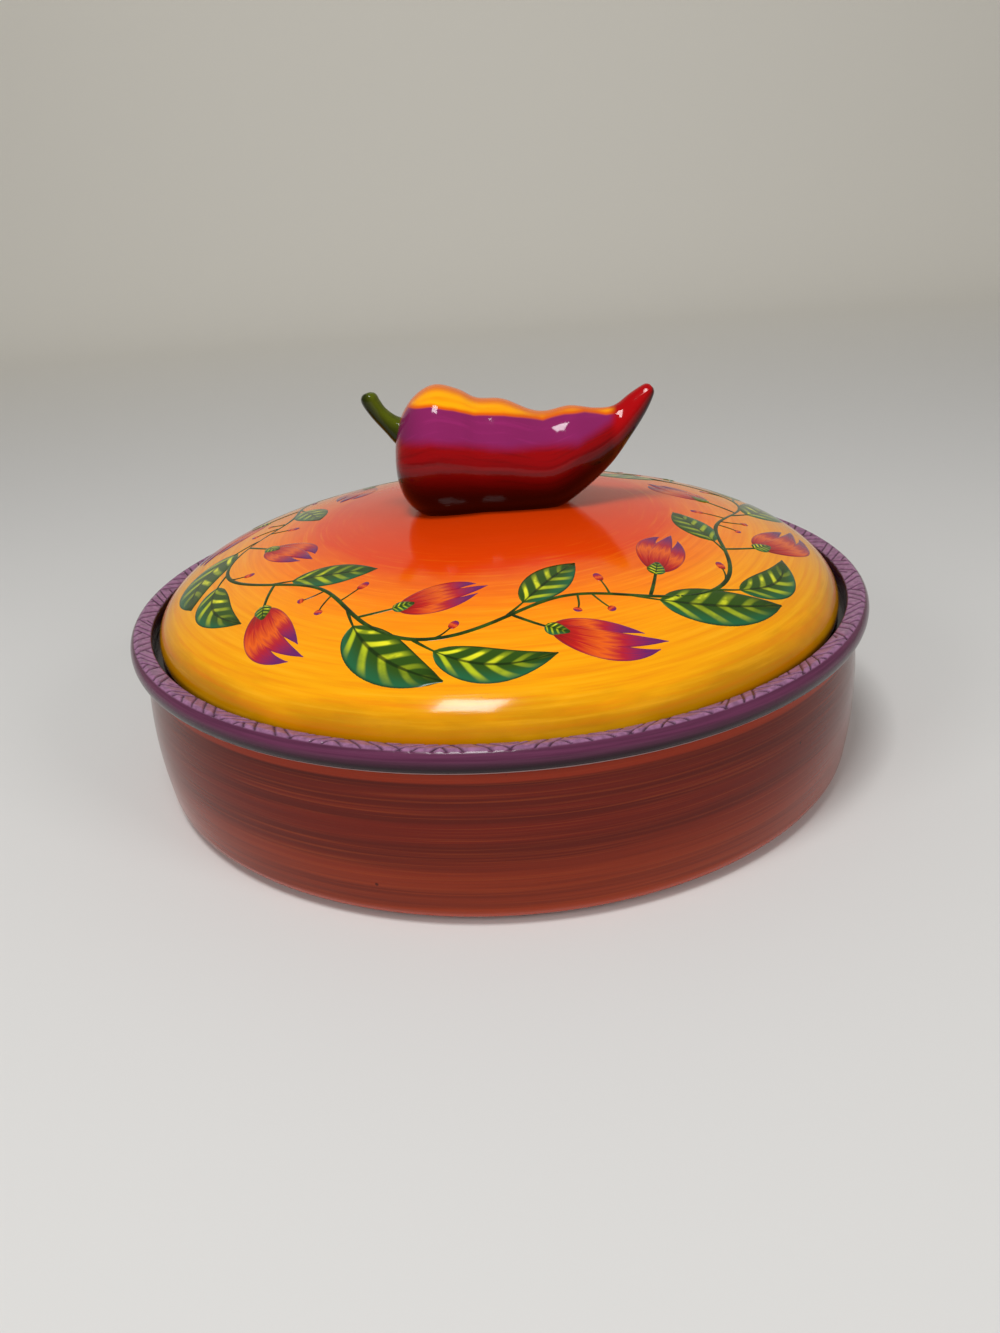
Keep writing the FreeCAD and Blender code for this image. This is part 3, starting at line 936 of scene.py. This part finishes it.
class WARMER_OT_garland(bpy.types.Operator):
    """Paint the lid's garland: a waving vine with plain leaves and buds, set round the dome"""

    bl_idname = "warmer.garland"
    bl_label = "Garland"

    VINE_R = 93.0 * MM
    VINE_SWING = 8.5 * MM
    VINE_HALF = 0.9 * MM

    # The garland's repeats differ a little in groups of this many
    VARIED = 3
    # Where each leaf's shoot leaves the vine, how far it reaches out and forward, its bend and
    # its leaf's half width, in millimetres but for the first
    LEAVES = (
        (0.96, 27.0, 40.0, 5.0, 9.6),
        (0.52, -24.0, 34.0, -3.0, 7.4),
        (0.24, 8.0, 40.0, 6.0, 7.0),
    )
    BUDS = (
        (0.54, 24.0, 42.0, 6.0, 7.4),
        (0.02, -20.0, 42.0, -4.0, 6.6),
    )
    BERRIES = ((0.30, -6.0, 7.0), (0.84, 9.0, 3.0), (0.90, -9.5, 3.0), (0.79, 7.5, -3.0))
    BERRY_R = 1.7 * MM

    def vine_at(self, t):
        """Radius and turn of the vine; t grows by 1 with each repeat."""
        sector = 2 * math.pi / sizes().garland_repeats
        return self.VINE_R + self.VINE_SWING * math.sin(2 * math.pi * t), sector * t

    def shoot(self, t, out, forward, curl=0.0):
        """A line that leaves the vine at t: out and forward are its reach, curl bends it."""
        r0, turn0 = self.vine_at(t)

        def line(s):
            r = r0 + (out * s + curl * math.sin(math.pi * s)) * MM
            return r, turn0 + forward * MM * s / self.VINE_R
        return line

    @staticmethod
    def part(line, start, end):
        return lambda s: line(start + (end - start) * s)

    @staticmethod
    def tapered(half, least=0.35):
        return lambda t: half * MM * (least + (1 - least) * (1 - t))

    @staticmethod
    def leafy(half, blunt=0.72):
        return lambda t: half * MM * max(0.03, math.sin(math.pi * min(1.0, t ** blunt))) ** 0.85

    def leaf(self, line, half, lift):
        """A stalk and the leaf at its end."""
        stalk = stroke(self.part(line, 0.0, 0.24), self.tapered(0.8), lift, 14, 4)
        return stalk, stroke(self.part(line, 0.18, 1.0), self.leafy(half), lift, 36, 12)

    def bud(self, line, half, lift):
        """A stalk, three petals that overlap, and the green cup that holds them."""
        stalk = stroke(self.part(line, 0.0, 0.30), self.tapered(0.8, 0.7), lift, 14, 4)
        petals = []
        for lean, reach, rise in ((-0.8, 0.92, 1.0), (0.8, 0.95, 1.0), (0.0, 1.04, 1.5)):
            def petal(s, lean=lean, reach=reach):
                r, turn = line(0.28 + (reach - 0.28) * s)
                return r + lean * math.sin(math.pi * s * 0.8) * half * MM, turn
            petals.append(stroke(petal, self.leafy(half * 0.62, 0.6), lift * rise, 30, 10))
        cup = stroke(self.part(line, 0.24, 0.42), self.leafy(half * 0.5), lift * 2.0, 12, 6)
        return stalk, petals, cup

    def execute(self, context):
        lift = sizes().brush_lift
        varied = random.Random(11)
        whole = self.part(self.vine_at, 0.0, self.VARIED)
        vine = [stroke(whole, lambda t: self.VINE_HALF, lift, 60 * self.VARIED, 4)]
        leaves, buds, cups = [], [], []
        for turn in range(self.VARIED):
            for t, out, forward, curl, half in self.LEAVES:
                big = varied.uniform(0.88, 1.06)
                line = self.shoot(t + turn, out * big, forward * big, curl * varied.uniform(0.4, 1.3))
                stalk, blade = self.leaf(line, half * big, lift)
                vine.append(stalk)
                leaves.append(blade)
            for t, out, forward, curl, half in self.BUDS:
                big = varied.uniform(0.88, 1.08)
                line = self.shoot(t + turn, out * big, forward * big, curl * varied.uniform(0.4, 1.3))
                stalk, petals, cup = self.bud(line, half * big, lift)
                vine.append(stalk)
                buds.extend(petals)
                cups.append(cup)
            for t, out, forward in self.BERRIES:
                line = self.shoot(t + turn, out, forward * varied.uniform(0.6, 1.4), 1.0)
                vine.append(stroke(line, self.tapered(0.5, 0.6), lift, 12, 4))
                buds.append(stroke(self.part(line, 0.85, 1.25), self.round_width, lift, 12, 6))
        repeats = sizes().garland_repeats // self.VARIED
        for name, strokes, material in (
            ("garland_vine", vine, vine_glaze()),
            ("garland_leaves", leaves + cups, leaf_glaze()),
            ("garland_buds", buds, blossom_glaze()),
        ):
            unit = place_object(name + "_unit", strokes_mesh(name, strokes), material)
            seat(repeat_round(unit, name, repeats, material), "lid", "lid_glaze")
        return {"FINISHED"}

    def round_width(self, t):
        return self.BERRY_R * math.sqrt(max(0.02, 1 - (2 * t - 1) ** 2))


class WARMER_OT_knob(bpy.types.Operator):
    """Model the pepper knob and its bent stem"""

    bl_idname = "warmer.knob"
    bl_label = "Pepper knob"

    @staticmethod
    def pepper_point(section, a):
        top_x, top_z, low_x, low_z, half = section
        k = furrowed(a)
        x = (top_x + low_x) / 2 + (top_x - low_x) / 2 * math.sin(a) * k
        z = (top_z + low_z) / 2 + (top_z - low_z) / 2 * math.sin(a) * k
        return (x * MM, half * math.cos(a) * k * MM, z * MM)

    @staticmethod
    def stem_rows(steps=60, around=28):
        """Rings of points square to the stem's line, ridged a little, and how far up each looks."""
        rings = [(x, z, radius) for (x, z), radius in STEM_LINE]
        aside = Vector((0, 1, 0))
        rows, lit = [], []
        last = len(rings) - 1
        for i in range(steps + 1):
            t = last * i / steps
            x, z, radius = spline(rings, t)
            ahead, behind = spline(rings, min(last, t + 0.05)), spline(rings, max(0, t - 0.05))
            up = aside.cross(Vector((ahead[0] - behind[0], 0, ahead[1] - behind[1])).normalized())
            row = []
            for j in range(around):
                a = 2 * math.pi * j / around
                ridge = 1 + 0.035 * math.cos(5 * a)
                spot = Vector((x, 0, z)) + (aside * math.cos(a) + up * math.sin(a)) * radius * ridge
                row.append(tuple(spot * MM))
                lit.append(math.sin(a))
            rows.append(row)
        return rows, lit

    def execute(self, context):
        sections = [(*top, *low, half) for top, low, half in PEPPER_SECTIONS]
        rows, heights = loft_rows(sections, 72, 150, self.pepper_point)
        mesh = grid_mesh("pepper_body", capped(rows))
        note(mesh, "height", [0.0] + heights + [0.0])
        for name, border in (("over_yellow", YELLOW_LINE), ("over_red", RED_LINE)):
            note(mesh, name, [v.co[2] / MM - height_on(border, v.co[0] / MM) for v in mesh.vertices])
        outwards(mesh)
        piece = place_object("pepper_body", mesh, pepper_glaze())
        seat(piece, "lid", "pepper_glaze", "pepper_knob")

        rows, lit = self.stem_rows()
        mesh = grid_mesh("pepper_stalk", capped(rows))
        note(mesh, "height", [0.0] + lit + [0.6])
        outwards(mesh)
        piece = place_object("pepper_stalk", mesh, stem_glaze())
        seat(piece, "lid", "stem_glaze", "pepper_stem")
        return {"FINISHED"}


class WARMER_OT_stage(bpy.types.Operator):
    """Set the pale floor and backdrop, the studio lamps and the photograph's camera"""

    bl_idname = "warmer.stage"
    bl_label = "Stage"

    def execute(self, context):
        self.floor()
        self.lamps()
        self.camera()
        return {"FINISHED"}

    @staticmethod
    def floor():
        g = Glaze("pale_floor", roughness=0.9, coat=0.0)
        rows = []
        for y, z in [(-2.5, 0.0)] + arc((1.2, 0.6), (0.6, 0.6), -90, 0, 15) + [(1.8, 3.0)]:
            rows.append([(x, y, z) for x in (-4.0, 4.0)])
        mesh = grid_mesh("studio_floor", rows, wrap_columns=False)
        if mesh.polygons[0].normal[2] < 0:
            mesh.flip_normals()
        y = g.place()[1]
        tone = g.mix(g.fade(y, 0.3, 1.6), colour("floor"), paint(250, 246, 236))
        floor = place_object("studio_floor", mesh, g.finish(tone))

    @staticmethod
    def lamps():
        world = bpy.data.worlds.new("studio_world")
        world.use_nodes = True
        back = world.node_tree.nodes["Background"]
        back.inputs["Color"].default_value = (1.0, 0.99, 0.97, 1.0)
        back.inputs["Strength"].default_value = 0.24
        bpy.context.scene.world = world
        # Name, place, what it looks at, its side, its power, and whether glazes mirror it
        for name, spot, aim, size, power, mirrored in (
            ("overhead", (-0.17, -0.50, 1.22), (0.0, 0.0, 0.08), 0.32, 8.6, True),
            ("left", (-0.95, -0.95, 0.85), (0.0, 0.0, 0.04), 0.5, 4.5, False),
            ("right", (0.95, -0.95, 0.85), (0.0, 0.0, 0.04), 0.5, 4.5, False),
            ("front", (0.0, -1.7, 0.75), (0.0, 0.0, 0.03), 0.8, 4.0, False),
        ):
            lamp = bpy.data.lights.new(name, "AREA")
            lamp.size = size
            lamp.energy = power
            made = bpy.data.objects.new(name, lamp)
            made.location = spot
            made.visible_glossy = mirrored
            made.rotation_euler = (Vector(aim) - Vector(spot)).to_track_quat("-Z", "Y").to_euler()
            bpy.context.scene.collection.objects.link(made)

    @staticmethod
    def swung(first, second, angle):
        """Two axes at right angles, turned together by an angle in radians."""
        c, s = math.cos(angle), math.sin(angle)
        return first * c - second * s, first * s + second * c

    def camera(self):
        e = math.radians(CAMERA_ELEVATION)
        yaw, pitch, roll = (math.radians(a) for a in (CAMERA_YAW, CAMERA_PITCH, CAMERA_ROLL))
        right = Vector((1, 0, 0))
        up = Vector((0, math.sin(e), math.cos(e)))
        ahead = Vector((0, math.cos(e), -math.sin(e)))
        spot = -ahead * CAMERA_DISTANCE
        right, ahead = self.swung(right, ahead, yaw)
        up, ahead = self.swung(up, ahead, pitch)
        right, up = self.swung(right, up, roll)
        lens = bpy.data.cameras.new("photo_camera")
        lens.sensor_width = SENSOR_MM
        lens.lens = FOCAL_PX * SENSOR_MM / PHOTO_H
        lens.clip_start = 0.01
        made = bpy.data.objects.new("photo_camera", lens)
        turn = Matrix((right, up, -ahead)).transposed()
        made.matrix_world = Matrix.Translation(spot) @ turn.to_4x4()
        bpy.context.scene.collection.objects.link(made)
        bpy.context.scene.camera = made
        bpy.context.scene.view_settings.view_transform = "Standard"


OPERATORS = (
    WARMER_OT_bowl,
    WARMER_OT_collar,
    WARMER_OT_lid,
    WARMER_OT_garland,
    WARMER_OT_knob,
    WARMER_OT_stage,
)


class WARMER_PT_panel(bpy.types.Panel):
    """The warmer's pieces and its sizes and colours"""

    bl_label = "Tortilla Warmer"
    bl_idname = "WARMER_PT_panel"
    bl_space_type = "VIEW_3D"
    bl_region_type = "UI"
    bl_category = "Warmer"

    def draw(self, context):
        for operator in OPERATORS:
            self.layout.operator(operator.bl_idname)
        for group in (context.scene.warmer_sizes, context.scene.warmer_colours):
            for name in group.__annotations__:
                self.layout.prop(group, name)


CLASSES = (WarmerSizes, WarmerColours, *OPERATORS, WARMER_PT_panel)


def register():
    for cls in CLASSES:
        bpy.utils.register_class(cls)
    bpy.types.Scene.warmer_sizes = PointerProperty(type=WarmerSizes)
    bpy.types.Scene.warmer_colours = PointerProperty(type=WarmerColours)


def unregister():
    del bpy.types.Scene.warmer_colours
    del bpy.types.Scene.warmer_sizes
    for cls in reversed(CLASSES):
        bpy.utils.unregister_class(cls)


def main():
    register()
    for name in ("bowl", "collar", "lid", "garland", "knob", "stage"):
        getattr(bpy.ops.warmer, name)()


if __name__ == "__main__":
    main()
